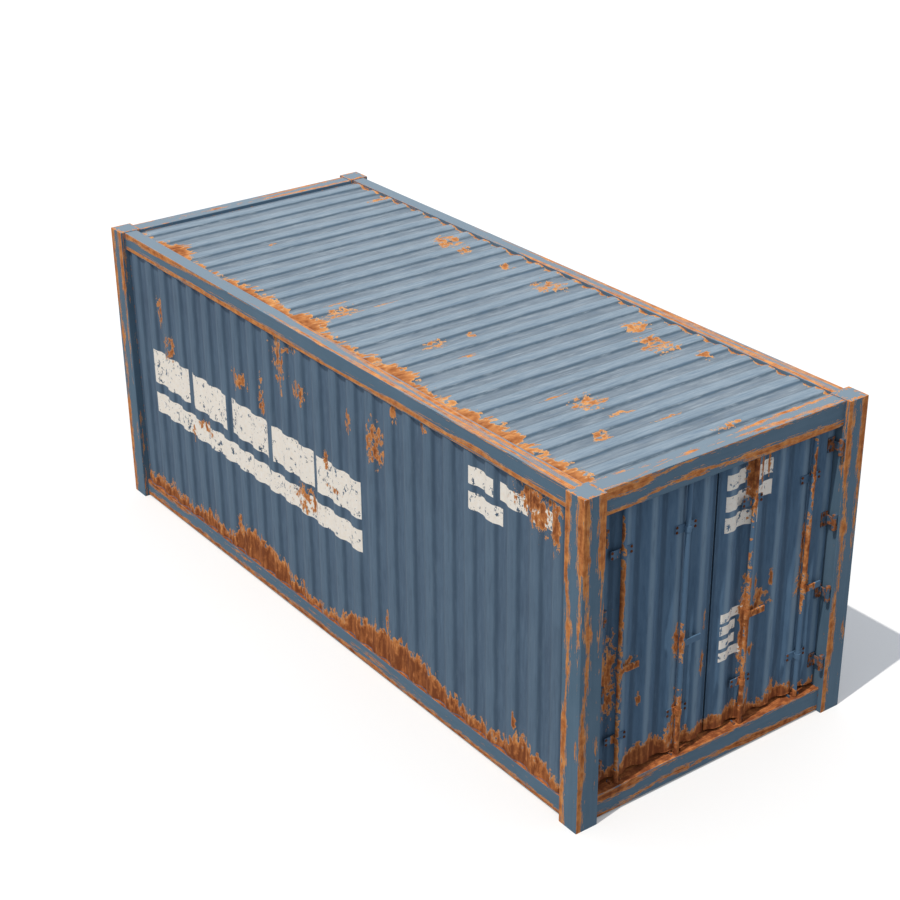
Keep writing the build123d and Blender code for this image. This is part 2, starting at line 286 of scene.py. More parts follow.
# patterns in a look: blotch sizes in millimetres, detail, roughness
wallLook = {
    "paint": "#485a6e", "faded": "#5c7287", "streakMm": (40.0, 60.0, 300.0), "brush": 1.4,
    "tongues": ((34.0, 200.0, 70.0), 6.0, 0.66), "tongueBite": 5.0, "footSoft": 0.085,
    "islands": ((30.0, 200.0, 54.0), 6.0, 0.64), "islandBite": 4.6, "blotchMm": (34.0, 60.0, 190.0),
    "patchScale": (0.75, 0.8), "patchMost": 0.1, "solidMost": 0.8,
    # painted highlight on each crest, painted shade as dark lines on the flanks
    "paintedLightBands": [(0.5, 0.29, 0.19, 0.4, "#647a8d"), (0.76, 0.11, 0.02, 0.55, "#36485a"),
              (0.24, 0.08, 0.02, 0.25, "#36485a")],
    "rainMm": (26.0, 60.0, 240.0), "rain": [(0.52, 0.75, 0.5, "#3c4d5e"), (0.48, 0.25, 0.4, "#6d8090")],
    # share of the wall's length, height of the rust at its foot in metres
    "foot": [(0.0, 0.10), (1.0, 0.09), (0.08, 0.12), (0.13, 0.08), (0.20, 0.14), (0.25, 0.09),
             (0.275, 0.20), (0.32, 0.26), (0.39, 0.20), (0.43, 0.11), (0.53, 0.07), (0.555, 0.17),
             (0.60, 0.23), (0.70, 0.25), (0.76, 0.17), (0.80, 0.12), (0.885, 0.10), (0.915, 0.20),
             (0.95, 0.15)],
    # along the wall and up, centre and half size, in metres
    "patches": [(-2.385, 1.89, 0.05, 0.13), (-2.26, 1.60, 0.08, 0.10), (-1.14, 1.72, 0.12, 0.09),
                (-0.81, 1.66, 0.035, 0.17), (-0.51, 2.12, 0.09, 0.24), (-0.25, 1.93, 0.10, 0.09),
                (-0.33, 2.25, 0.10, 0.05), (0.395, 1.95, 0.05, 0.10), (0.74, 1.90, 0.11, 0.16),
                (0.98, 2.23, 0.03, 0.11), (1.32, 2.25, 0.06, 0.04), (2.69, 2.23, 0.10, 0.06),
                (-1.70, 1.09, 0.14, 0.05), (-0.21, 1.07, 0.16, 0.11),
                (0.08, 1.50, 0.03, 0.08), (0.19, 1.31, 0.12, 0.02), (-1.94, 0.95, 0.03, 0.06),
                (0.82, 0.50, 0.025, 0.10), (-1.27, 0.43, 0.03, 0.08), (2.31, 0.47, 0.02, 0.07)],
    "solid": [(2.49, 2.20, 0.15, 0.11), (2.54, 2.10, 0.09, 0.10), (2.71, 2.07, 0.045, 0.12),
              (-0.53, 2.10, 0.03, 0.15)],
    # a row of dashes over a plain bar, and short stencil bars by the door end
    "bars": [(-2.25 + 0.625 * i, 1.36, 0.28, 0.15) for i in range(5)]
            + [(-1.0, 1.03, 1.53, 0.09), (1.96, 2.115, 0.13, 0.065), (2.28, 2.115, 0.14, 0.065),
               (2.58, 2.115, 0.10, 0.065), (2.00, 1.93, 0.17, 0.065)],
}


# rolled steel wall with old blue paint: dull, cloudy, rust climbing from the foot in tongues
def wallPaint():
    finish, add, where = openFinish("rolledSteelOldBluePaint")
    low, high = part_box("left_wall")
    parts = add("SeparateXYZ", [where.outputs["Object"]])
    side = add("Math.SIGN", [parts.outputs["Y"]])
    turned = add("Math.MULTIPLY", [parts.outputs["X"], side])
    along = add("Math.MULTIPLY", [turned, -1.0])
    spot = add("CombineXYZ", {"X": along, "Y": parts.outputs["Z"]})
    facing = add("SeparateXYZ", [where.outputs["Normal"]])
    outward = add("Math.MULTIPLY", [facing.outputs["Y"], side])
    outward = add("Math.GREATER_THAN", [outward, 0.0])

    paint = sheetPaint(add, where, along, low.x, high.x - low.x, wallSheet, wallLook)
    paint = stencilBars(add, where, spot, outward, paint, wallLook["bars"])

    foot = curveAlong(add, along, low.x, high.x, wallLook["foot"])
    band = edgeBand(add, foot, parts.outputs["Z"], low.z, wallLook["footSoft"])
    tongues = mottle(add, where, *wallLook["tongues"])
    band = ragged(add, band, tongues, wallLook["tongueBite"])
    blots = patchField(add, spot, wallLook["patches"], wallLook["patchMost"], wallLook["patchScale"])
    solid = patchField(add, spot, wallLook["solid"], wallLook["solidMost"])
    blots = add("Math.MAXIMUM", [blots, solid])
    inside = add("Math.SUBTRACT", [outward, 1.0])
    blots = add("Math.ADD", [blots, inside])
    islands = mottle(add, where, *wallLook["islands"], shift=2.3)
    blots = ragged(add, blots, islands, wallLook["islandBite"])
    field = add("Math.MAXIMUM", [band, blots])
    return closeFinish(finish, add, where, paint, field, blotchMm=wallLook["blotchMm"])


roofLook = {
    # the roof's paint: a paler, greyer copy of the wall paint, a painted sheen
    "paint": "#5f6d7a", "faded": "#8995a0", "streakMm": (24.0, 360.0, 60.0), "brush": 1.8,
    "edges": ((38.0, 84.0, 200.0), 5.0, 0.55), "islands": ((30.0, 58.0, 200.0), 5.0, 0.6), "bite": 4.6,
    "nearSoft": 0.085, "farReach": 0.02, "farSoft": 0.03, "blotchMm": (60.0, 110.0, 60.0),
    "patchScale": (0.85, 0.85), "patchDepth": 9.0, "patchMost": 0.15, "gloss": 0.5, "deep": 1.7,
    # painted highlight on each crest, painted shade as dark lines on the flanks
    "paintedLightBands": [(0.5, 0.29, 0.17, 0.45, "#8ba0b1"), (0.76, 0.09, 0.01, 0.95, "#475a69"),
              (0.24, 0.06, 0.0, 0.5, "#4a5d6b")],
    "rainMm": (15.0, 200.0, 60.0), "rain": [(0.52, 0.75, 0.7, "#566f87"), (0.48, 0.25, 0.6, "#a7b3bd")],
    # share of the roof's length, reach of the rust from the near rail in metres
    "nearEdge": [(0.0, 0.01), (1.0, 0.09), (0.06, 0.02), (0.09, 0.16), (0.12, 0.14), (0.14, 0.05),
                 (0.19, 0.03), (0.26, 0.07), (0.32, 0.11), (0.40, 0.10), (0.44, 0.18), (0.46, 0.16),
                 (0.49, 0.07), (0.60, 0.09), (0.655, 0.16), (0.68, 0.08), (0.75, 0.08), (0.81, 0.13),
                 (0.93, 0.09), (0.972, 0.12)],
    # along and across the roof, centre and half size, in metres
    "patches": [(-1.10, 0.82, 0.14, 0.10), (-0.85, 0.82, 0.05, 0.06), (-0.37, 0.84, 0.06, 0.05),
                (0.19, 0.83, 0.11, 0.12), (1.18, 0.82, 0.08, 0.10), (1.52, 0.72, 0.15, 0.13),
                (1.85, 0.85, 0.07, 0.05), (0.56, -0.51, 0.07, 0.08), (0.56, -0.19, 0.04, 0.04),
                (0.87, -0.44, 0.03, 0.10), (-0.29, -0.34, 0.03, 0.12), (-0.34, -0.70, 0.08, 0.18),
                (-0.51, -0.66, 0.03, 0.12), (1.95, -0.28, 0.10, 0.13), (2.21, -0.21, 0.04, 0.10),
                (2.39, -0.53, 0.06, 0.07), (2.77, 0.20, 0.03, 0.12), (2.43, 0.0, 0.025, 0.10),
                (-2.30, 0.98, 0.05, 0.12), (-1.94, -0.32, 0.03, 0.04), (1.75, -0.40, 0.02, 0.10)],
}


# rolled steel roof: pale and dusty, its paint and rust paler and greyer than on the walls as a painted
# sheen; rust where water stands along the rail
def roofPaint():
    finish, add, where = openFinish("rolledSteelPaintPaintedSheen")
    low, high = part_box("roof")
    parts = add("SeparateXYZ", [where.outputs["Object"]])
    along, across = parts.outputs["X"], parts.outputs["Y"]
    paint = sheetPaint(add, where, along, low.x, high.x - low.x, roofSheet, roofLook)
    reach = curveAlong(add, along, low.x, high.x, roofLook["nearEdge"])
    near = edgeBand(add, reach, across, low.y, roofLook["nearSoft"])
    far = add("Math.SUBTRACT", [across, high.y - roofLook["farReach"]])
    far = add("Math.DIVIDE", [far, roofLook["farSoft"]])
    edges = add("Math.MAXIMUM", [near, far])
    edges = ragged(add, edges, mottle(add, where, *roofLook["edges"]), roofLook["bite"])
    blots = patchField(add, where.outputs["Object"], roofLook["patches"], roofLook["patchMost"],
                       roofLook["patchScale"], roofLook["patchDepth"])
    blots = ragged(add, blots, mottle(add, where, *roofLook["islands"], shift=2.3), roofLook["bite"])
    field = add("Math.MAXIMUM", [edges, blots])
    return closeFinish(finish, add, where, paint, field, gloss=roofLook["gloss"], deep=roofLook["deep"],
                       blotchMm=roofLook["blotchMm"], tones=paintedSheenRust)


doorLook = {
    # the door paint: a bluer copy of the wall paint, a painted shade tint
    "paint": "#4a657f", "faded": "#607c96", "streakMm": (90.0, 60.0, 260.0),
    "pattern": ((200.0, 28.0, 52.0), 6.0, 0.66), "bite": 4.4, "blotchMm": (60.0, 34.0, 190.0),
    "footSoft": 0.06, "patchMost": 0.7, "strandHalf": 0.03, "besideBar": 0.05,
    # a thin painted highlight on each crest, painted shade in the troughs
    "paintedLightBands": [(0.5, 0.16, 0.03, 0.55, "#8ba2b4"), (0.0, 0.17, 0.05, 0.6, "#293e53"),
              (1.0, 0.17, 0.05, 0.6, "#293e53")],
    "rainMm": (60.0, 24.0, 220.0), "rain": [(0.52, 0.75, 0.5, "#33495f"), (0.48, 0.25, 0.4, "#6f8aa2")],
    "foot": [(0.0, 0.09), (1.0, 0.03), (0.09, 0.08), (0.18, 0.15), (0.25, 0.17), (0.33, 0.09), (0.48, 0.10),
             (0.60, 0.12), (0.66, 0.15), (0.71, 0.05), (0.80, 0.09), (0.86, 0.11), (0.92, 0.02)],
    # across the doors and up, centre and half size, in metres
    "patches": [(-0.845, 2.05, 0.008, 0.10), (-0.842, 1.55, 0.020, 0.32), (-0.890, 1.00, 0.065, 0.27),
                (-0.850, 0.52, 0.016, 0.24), (-0.76, 1.065, 0.10, 0.03), (-0.332, 1.45, 0.012, 0.26),
                (-0.32, 1.07, 0.03, 0.10), (-0.30, 0.46, 0.03, 0.18), (-0.32, 0.34, 0.06, 0.09),
                (-0.055, 1.14, 0.02, 0.06), (-0.065, 0.80, 0.025, 0.09), (-0.62, 0.75, 0.014, 0.05),
                (0.292, 2.10, 0.034, 0.26), (0.38, 2.12, 0.02, 0.13), (0.46, 2.12, 0.010, 0.09),
                (0.262, 1.38, 0.018, 0.22), (0.30, 0.97, 0.032, 0.34), (0.288, 0.45, 0.026, 0.22),
                (0.45, 1.13, 0.055, 0.055), (0.53, 1.26, 0.015, 0.07), (0.40, 1.25, 0.02, 0.05),
                (0.38, 0.73, 0.035, 0.04), (0.39, 1.065, 0.12, 0.03), (0.827, 1.95, 0.012, 0.24),
                (0.827, 1.35, 0.030, 0.24), (0.84, 1.09, 0.07, 0.06), (0.80, 0.97, 0.02, 0.07),
                (0.63, 0.30, 0.05, 0.08), (0.36, 0.31, 0.05, 0.10)],
    "bars": [(0.16, 2.10, 0.09, 0.055), (0.40, 2.10, 0.09, 0.055), (0.28, 1.945, 0.21, 0.055),
             (0.21, 1.79, 0.14, 0.055), (0.20, 1.085, 0.12, 0.035), (0.16, 0.99, 0.08, 0.035),
             (0.16, 0.885, 0.08, 0.035), (0.20, 0.785, 0.12, 0.035)],
}


# door leaves: old blue paint with a painted shade tint, bluer than on the walls; rust that runs down from
# the lock bars and up from the foot
def doorPaint(name, rusty):
    finish, add, where = openFinish(name)
    low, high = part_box("left_door_skin")
    parts = add("SeparateXYZ", [where.outputs["Object"]])
    across = parts.outputs["Y"]
    spot = add("CombineXYZ", {"X": across, "Y": parts.outputs["Z"]})
    facing = add("SeparateXYZ", [where.outputs["Normal"]])
    outward = add("Math.GREATER_THAN", [facing.outputs["X"], 0.0])
    patches = doorLook["patches"]
    if rusty:
        paint = fadedPaint(add, where, doorLook, doorLook["streakMm"])
    else:
        fromSeam = add("Math.ABSOLUTE", [across])
        paint = sheetPaint(add, where, fromSeam, -high.y, high.y - low.y, doorSheet, doorLook)
        paint = stencilBars(add, where, spot, outward, paint, doorLook["bars"])
        # a thin strand on a lock bar stays off the sheet behind it
        patches = [row for row in patches if row[2] >= doorLook["strandHalf"]
                   or min(abs(abs(row[0]) - bar) for bar in lockBars) >= doorLook["besideBar"]]
    foot = curveAlong(add, across, low.y, -low.y, doorLook["foot"])
    band = edgeBand(add, foot, parts.outputs["Z"], low.z, doorLook["footSoft"])
    blots = patchField(add, spot, patches, doorLook["patchMost"])
    more = rusty or add("Math.SUBTRACT", [outward, 1.0])
    blots = add("Math.ADD", [blots, more])
    shape = add("Math.MAXIMUM", [band, blots])
    field = ragged(add, shape, mottle(add, where, *doorLook["pattern"]), doorLook["bite"])
    return closeFinish(finish, add, where, paint, field, blotchMm=doorLook["blotchMm"])


frontLook = {
    **wallLook, "streakMm": (90.0, 60.0, 300.0), "brush": fadeRule["brush"],
    "rainMm": (60.0, 26.0, 240.0), "wander": ((600.0, 600.0, 9000.0), 2.0), "foot": 0.11,
    "pattern": ((200.0, 44.0, 80.0), 6.0, 0.62), "bite": 4.4, "patchMost": 0.05,
    "blotchMm": (60.0, 34.0, 190.0),
    "patches": [(-0.55, 1.95, 0.12, 0.18), (0.35, 1.55, 0.08, 0.14), (0.75, 2.15, 0.10, 0.10),
                (-0.15, 0.95, 0.05, 0.10), (0.62, 0.42, 0.10, 0.12)],
}


# closed end: the same old paint as the long walls
def frontPaint():
    finish, add, where = openFinish("rolledSteelOldBluePaintEnd")
    low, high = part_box("front_wall")
    parts = add("SeparateXYZ", [where.outputs["Object"]])
    across = parts.outputs["Y"]
    spot = add("CombineXYZ", {"X": across, "Y": parts.outputs["Z"]})
    paint = sheetPaint(add, where, across, low.y, high.y - low.y, frontSheet, frontLook)
    foot, wander = frontLook["foot"], mottle(add, where, *frontLook["wander"])
    foot = add("Math.MULTIPLY_ADD", [wander, 3.0 * foot, -0.5 * foot])  # its height on average
    band = edgeBand(add, foot, parts.outputs["Z"], low.z, frontLook["footSoft"])
    blots = patchField(add, spot, frontLook["patches"], frontLook["patchMost"])
    shape = add("Math.MAXIMUM", [band, blots])
    field = ragged(add, shape, mottle(add, where, *frontLook["pattern"]), frontLook["bite"])
    return closeFinish(finish, add, where, paint, field, blotchMm=frontLook["blotchMm"])


frameLook = {
    # paintedSheen: the paler tone of faces that look up, a painted sheen on the sunlit tops
    "paint": "#4d6679", "faded": "#60788b", "paintedSheen": "#80909d", "paintedSheenFrom": 0.6, "paintedSheenTo": 0.8,
    "paintedSheenShare": 0.8, "threadMm": 9.0, "streakMm": 105.0, "threads": (6.0, 0.68), "bite": 5.4,
    "blotchMm": 55.0, "deep": 2.4, "halfStreak": 0.030, "swellGain": 2.0, "swellBase": -0.7,
    "upwardFrom": 0.7, "upwardGain": 6.0,
    # chips on a corner's top: metres from its middle where they start and end, strength there
    "stars": ((30.0, 30.0, 30.0), 6.0, 0.66), "starBite": 4.4, "starsFrom": 0.035, "starsTo": 0.089,
    "fewest": -0.9, "most": 0.3,
}

# rust streaks along the two long edges of a face: share of the run, then metres from the edge or strength;
# "upward" adds to both edges of a top face above 0.5 and takes away below it
postStreaks = {
    "first": {"place": [(0.0, 0.012), (1.0, 0.018), (0.10, 0.014), (0.16, 0.020), (0.22, 0.028),
                        (0.36, 0.030), (0.44, 0.050), (0.62, 0.050), (0.70, 0.040), (0.76, 0.022),
                        (0.85, 0.018)],
              "swell": [(0.0, 0.88), (1.0, 0.92), (0.08, 0.86), (0.13, 0.74), (0.19, 0.82), (0.28, 0.86),
                        (0.36, 0.70), (0.41, 0.50), (0.52, 0.62), (0.575, 0.62), (0.61, 0.88), (0.65, 0.60),
                        (0.70, 0.55), (0.76, 0.74), (0.85, 0.90)]},
    "second": {"place": [(0.0, 0.030), (1.0, 0.022), (0.26, 0.030), (0.50, 0.030), (0.70, 0.026)],
               "swell": [(0.0, 0.05), (1.0, 0.95), (0.20, 0.05), (0.265, 0.50), (0.31, 0.05), (0.48, 0.10),
                         (0.58, 0.48), (0.74, 0.52), (0.785, 0.80), (0.80, 0.95)]},
    "upward": [(0.0, 0.5), (1.0, 0.5)],
}
beamStreaks = {
    "first": {"place": [(0.0, 0.012), (1.0, 0.016), (0.12, 0.016), (0.20, 0.045), (0.36, 0.062),
                        (0.50, 0.052), (0.62, 0.038), (0.80, 0.024)],
              "swell": [(0.0, 0.66), (1.0, 0.78), (0.10, 0.64), (0.16, 0.55), (0.26, 0.52), (0.33, 0.56),
                        (0.37, 0.84), (0.42, 0.54), (0.52, 0.52), (0.60, 0.82), (0.75, 0.88)]},
    "second": {"place": [(0.0, 0.036), (1.0, 0.004), (0.18, 0.034), (0.30, 0.014), (0.60, 0.006)],
               "swell": [(0.0, 0.98), (1.0, 0.36), (0.16, 0.95), (0.19, 0.66), (0.25, 0.45), (0.45, 0.45),
                         (0.70, 0.40)]},
    "sill": (0.85, 1.1), "header": (0.40, 2.4),  # upward and deep: water stands on the sills
}
topRailStreaks = {
    "first": {"place": [(0.0, 0.016), (1.0, 0.014), (0.25, 0.022), (0.50, 0.014), (0.70, 0.026),
                        (0.85, 0.030)],
              "swell": [(0.0, 0.70), (1.0, 0.72), (0.15, 0.66), (0.30, 0.78), (0.55, 0.66), (0.70, 0.76),
                        (0.85, 0.70)]},
    "second": {"place": [(0.0, 0.020), (1.0, 0.006), (0.18, 0.018), (0.30, 0.006)],
               "swell": [(0.0, 0.88), (1.0, 0.34), (0.12, 0.82), (0.20, 0.64), (0.27, 0.36), (0.60, 0.30)]},
    "upward": [(0.0, 0.30), (1.0, 0.48), (0.36, 0.30), (0.46, 0.44), (0.70, 0.47)], "streakMm": 420.0,
}
bottomRailStreaks = {
    "first": {"place": [(0.0, 0.016), (1.0, 0.014), (0.40, 0.020), (0.70, 0.014)],
              "swell": [(0.0, 0.78), (1.0, 0.74), (0.20, 0.70), (0.45, 0.80), (0.70, 0.72)]},
    "second": {"place": [(0.0, 0.014), (1.0, 0.040), (0.12, 0.016), (0.20, 0.034), (0.30, 0.030),
                         (0.60, 0.060)],
               "swell": [(0.0, 0.82), (1.0, 0.15), (0.11, 0.74), (0.15, 0.20), (0.24, 0.20), (0.28, 0.48),
                         (0.32, 0.20), (0.57, 0.20), (0.62, 0.48), (0.68, 0.20)]},
    "upward": [(0.0, 0.85), (1.0, 0.85)], "deep": 1.1,
}


# rust along a long edge that wanders off it, swells and breaks up on its way
def streak(add, share, reach, look):
    place = add("FloatCurve", {"Value": share}, points=look["place"])
    swell = add("FloatCurve", {"Value": share}, points=look["swell"])
    off = add("Math.SUBTRACT", [reach, place])
    off = add("Math.ABSOLUTE", [off])
    off = add("Math.DIVIDE", [off, frameLook["halfStreak"]])
    swell = add("Math.MULTIPLY_ADD", [swell, frameLook["swellGain"], frameLook["swellBase"]])
    return add("Math.SUBTRACT", [swell, off])


# distances from the first and the second long edge of the face that a point lies on
def edgeReach(add, parts, facing, low, high, run):
    near = [min(abs(a), abs(b)) for a, b in zip(low, high)]
    far = [max(abs(a), abs(b)) for a, b in zip(low, high)]
    turn = [add("Math.ABSOLUTE", [facing.outputs[axis]]) for axis in range(3)]
    if run == 2:  # a post: the first edge is on the left for someone who looks at the face
        lefts = []
        for axis, normal, sign in ((1, 0, 1.0), (0, 1, -1.0)):
            side = add("Math.SIGN", [facing.outputs[normal]])
            spot = add("Math.MULTIPLY", [parts.outputs[axis], side])
            spot = add("Math.MULTIPLY", [spot, sign])
            behind = add("Math.LESS_THAN", [spot, 0.0])
            left = add("Math.MULTIPLY_ADD", [behind, near[axis] + far[axis], -near[axis]])
            lefts.append(add("Math.ADD", [spot, left]))
        pick = add("Math.GREATER_THAN", [turn[1], turn[0]])
        first = add("Mix.FLOAT", [pick, lefts[0], lefts[1]])
        return first, add("Math.SUBTRACT", [far[0] - near[0], first])
    side = 1 - run  # a rail or beam: the first edge is the lower one, or the outer one on top and below
    flat = add("Math.ABSOLUTE", [parts.outputs[side]])
    rise = add("Math.SUBTRACT", [parts.outputs[2], low.z])
    drop = add("Math.SUBTRACT", [high.z, parts.outputs[2]])
    outer = add("Math.SUBTRACT", [far[side], flat])
    inner = add("Math.SUBTRACT", [flat, near[side]])
    pick = add("Math.GREATER_THAN", [turn[2], frameLook["upwardFrom"]])
    return (add("Mix.FLOAT", [pick, rise, outer]),
            add("Mix.FLOAT", [pick, drop, inner]))


# folded steel section: paint rubbed through along the edges in long broken threads of rust
def memberPaint(name, node, run, look):
    finish, add, where = openFinish(name)
    low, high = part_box(node)
    span = (cadLow.z, cadHigh.z) if run == 2 else (low[run], high[run])
    thread = [frameLook["threadMm"]] * 3
    thread[run] = look.get("streakMm", frameLook["streakMm"])
    paint = fadedPaint(add, where, frameLook, [4 * t for t in thread])
    parts = add("SeparateXYZ", [where.outputs["Object"]])
    facing = add("SeparateXYZ", [where.outputs["Normal"]])
    share = add("MapRange", {"Value": parts.outputs[run], "From Min": span[0], "From Max": span[1]})
    first, second = edgeReach(add, parts, facing, low, high, run)
    shape = add("Math.MAXIMUM",
                [streak(add, share, first, look["first"]), streak(add, share, second, look["second"])])
    inward = add("VectorMath.DOT_PRODUCT",
                 [where.outputs["Object"], where.outputs["Normal"]]).outputs["Value"]
    inward = add("Math.LESS_THAN", [inward, 0.0])
    shape = add("Math.SUBTRACT", [shape, inward])

    gain = frameLook["upwardGain"]
    level = add("FloatCurve", {"Value": share}, points=look["upward"])
    level = add("Math.MULTIPLY_ADD", [level, gain, -gain / 2])
    edge = add("Math.MINIMUM", [first, second])
    top = add("Math.ADD", [streak(add, share, edge, look["first"]), level])
    upward = add("Math.GREATER_THAN", [facing.outputs["Z"], frameLook["upwardFrom"]])
    shape = add("Mix.FLOAT", [upward, shape, top])
    field = ragged(add, shape, mottle(add, where, thread, *frameLook["threads"]), frameLook["bite"])
    # faces that look up turn paler: a painted sheen
    pale = add("MapRange", {"Value": facing.outputs["Z"], "From Min": frameLook["paintedSheenFrom"],
                            "From Max": frameLook["paintedSheenTo"], "To Max": frameLook["paintedSheenShare"]})
    paint = add("Mix.RGBA", [pale, paint, frameLook["paintedSheen"]])
    if run == 2:  # the top of a corner is chipped in small stars along its rim
        flat = add("VectorMath.ABSOLUTE", [where.outputs["Object"]])
        middle = [abs(a + b) / 2 for a, b in zip(low, high)]
        off = add("VectorMath.SUBTRACT", [flat, middle])
        off = add("VectorMath.ABSOLUTE", [off])
        off = add("SeparateXYZ", [off])
        off = add("Math.MAXIMUM", [off.outputs["X"], off.outputs["Y"]])
        rim = add("MapRange",
                  {"Value": off, "From Min": frameLook["starsFrom"], "From Max": frameLook["starsTo"],
                   "To Min": frameLook["fewest"], "To Max": frameLook["most"]})
        stars = mottle(add, where, *frameLook["stars"], shift=2.9)
        stars = ragged(add, rim, stars, frameLook["starBite"])
        field = add("Mix.FLOAT", [upward, field, stars])
    return closeFinish(finish, add, where, paint, field, deep=look.get("deep", frameLook["deep"]),
                       blotchMm=[frameLook["blotchMm"]] * 3)


# the fittings' rust tones are a darker copy of the rust tones: painted shade
steelLookPaintedShade = {"paint": "#41566b", "faded": "#4d6378", "deep": 0.8, "gain": 4.0,
             "rust": {"rim": "#b5794c", "fresh": "#a4683f", "old": "#855031", "dark": "#5c3722"}}


# forged fittings and weld runs: more rust than paint, its tones darkened as painted shade
def rustedSteel(name, share, sizeMm):
    finish, add, where = openFinish(name)
    paint = fadedPaint(add, where, steelLookPaintedShade, sizeMm)
    pattern = mottle(add, where, sizeMm, 6.0, 0.66)
    field = add("Math.SUBTRACT", [pattern, 1.0 - share])
    field = add("Math.MULTIPLY", [field, steelLookPaintedShade["gain"]])
    return closeFinish(finish, add, where, paint, field, deep=steelLookPaintedShade["deep"], tones=steelLookPaintedShade["rust"])


sealLook = {"dust": ((40.0, 40.0, 160.0), 5.0), "black": "#17181a", "dusty": "#3a3b3b", "roughness": 0.75,
            "bump": (0.2, 0.001)}


# moulded rubber seal: matt black, greyed by dust
def sealRubber():
    finish, add, where = openFinish("mouldedRubber")
    dust = mottle(add, where, *sealLook["dust"])
    colour = add("Mix.RGBA", [dust, sealLook["black"], sealLook["dusty"]])
    closeSurface(add, colour, sealLook["roughness"], dust, *sealLook["bump"])
    return finish


undersealLook = {"lumps": ((70.0, 70.0, 70.0), 5.0), "roughness": 0.85, "bump": (0.4, 0.002),
                 "tones": [(0.3, "#1d2022"), (0.75, "#4a4743"), (0.6, "#2b2c2d")]}


# sprayed underseal: dull near-black coat, dusty and lumpy
def underseal():
    finish, add, where = openFinish("sprayedUnderseal")
    lump = mottle(add, where, *undersealLook["lumps"])
    colour = add("ValToRGB", [lump], stops=undersealLook["tones"])
    closeSurface(add, colour, undersealLook["roughness"], lump, *undersealLook["bump"])
    return finish


floorRule = {"rows": 12, "boardsInRow": 3, "gap": 0.003, "softEdge": 0.0015, "tongueHalf": 1.038}
boardLook = {"grain": ((700.0, 9.0, 30.0), 6.0), "scuffs": ((900.0, 40.0, 40.0), 5.0, 0.7), "turn": 0.12,
             "tones": [(0.25, "#4d3423"), (0.75, "#8a6445"), (0.5, "#6b4a31")], "scuffed": "#8d8377",
             "scuffedFrom": 0.55, "scuffedTo": 0.7, "scuffedShare": 0.6, "shadeGain": 0.35,
             "shadeBase": -0.17, "roughness": 0.7, "bump": (0.25, 0.001)}


# hardwood floor boards: reddish brown, long grain, each board its own shade, scuffed by loading
def floorBoard():
    finish, add, where = openFinish("scuffedHardwood")
    low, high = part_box("floor")
    parts = add("SeparateXYZ", [where.outputs["Object"]])
    row = add("Math.SUBTRACT", [parts.outputs["Y"], low.y])
    row = add("Math.DIVIDE", [row, (high.y - low.y) / floorRule["rows"]])
    row = add("Math.FLOOR", [row])
    shift = add("Math.MODULO", [row, 2.0])
    shift = add("Math.MULTIPLY", [shift, 0.5])
    column = add("Math.ADD", [parts.outputs["X"], high.x])
    column = add("Math.DIVIDE", [column, 2 * high.x / floorRule["boardsInRow"]])
    column = add("Math.ADD", [column, shift])
    column = add("Math.FLOOR", [column])
    board = add("CombineXYZ", {"X": row, "Y": column})
    shade = add("TexWhiteNoise", {"Vector": board})
    grain = mottle(add, where, *boardLook["grain"])
    scuff = mottle(add, where, *boardLook["scuffs"], turn=(0, 0, boardLook["turn"]), shift=4.0)
    tone = add("Math.MULTIPLY_ADD", [shade, boardLook["shadeGain"], boardLook["shadeBase"]])
    tone = add("Math.ADD", [grain, tone])
    wood = add("ValToRGB", [tone], stops=boardLook["tones"])
    worn = add("MapRange", {"Value": scuff, "From Min": boardLook["scuffedFrom"],
                            "From Max": boardLook["scuffedTo"], "To Max": boardLook["scuffedShare"]})
    colour = add("Mix.RGBA", [worn, wood, boardLook["scuffed"]])
    closeSurface(add, colour, boardLook["roughness"], grain, *boardLook["bump"])
    return finish


finishes = {
    "wall": wallPaint(), "roof": roofPaint(), "front": frontPaint(),
    "leaf": doorPaint("rolledSteelPaintWithPaintedShadeTint", 0.0), "bar": doorPaint("forgedBarPaintWithPaintedShadeTint", 0.15),
    "post": memberPaint("foldedPostPaint", "door_left_post", 2, postStreaks),
    "topRail": memberPaint("foldedTopRailPaint", "left_top_rail", 0, topRailStreaks),
    "bottomRail": memberPaint("foldedBottomRailPaint", "left_bottom_rail", 0, bottomRailStreaks),
    "steel": rustedSteel("forgedSteelRustedPaintedShade", 0.50, (35.0, 35.0, 60.0)),
    "weld": rustedSteel("paintedWeld", 0.44, (40.0, 40.0, 40.0)),
    "bolt": rustedSteel("rustedBolt", 0.75, (12.0, 12.0, 12.0)),
    "seal": sealRubber(), "underseal": underseal(), "board": floorBoard(),
}
for beam in ("front_header", "front_sill", "door_header", "door_sill"):
    standing, deep = beamStreaks[beam.split("_")[1]]
    look = {**beamStreaks, "upward": [(0.0, standing), (1.0, standing)], "deep": deep}
    finishes[beam] = memberPaint("folded_" + beam, beam, 1, look)

# by the end of a node's name, unless the whole name has a finish of its own
endings = {
    "_post": "post", "_fitting": "post", "_top_rail": "topRail", "_bottom_rail": "bottomRail",
    "front_wall": "front", "_wall": "wall", "_stops": "front", "floor": "board",
    "_cross_members": "underseal", "_door_skin": "leaf", "_door_frame": "leaf", "_door_gasket": "seal",
    "_lock_bar": "bar", "_bar_guides": "bar", "_door_hinges": "steel", "_hinge_lugs": "steel",
    "_keepers": "steel",
}
for name, node in nodes.items():
    key = name if name in finishes else next(k for end, k in endings.items() if name.endswith(end))
    node.data.materials.clear()
    node.data.materials.append(finishes[key])
print("finishes:", len(finishes))


# Pieces made by rule

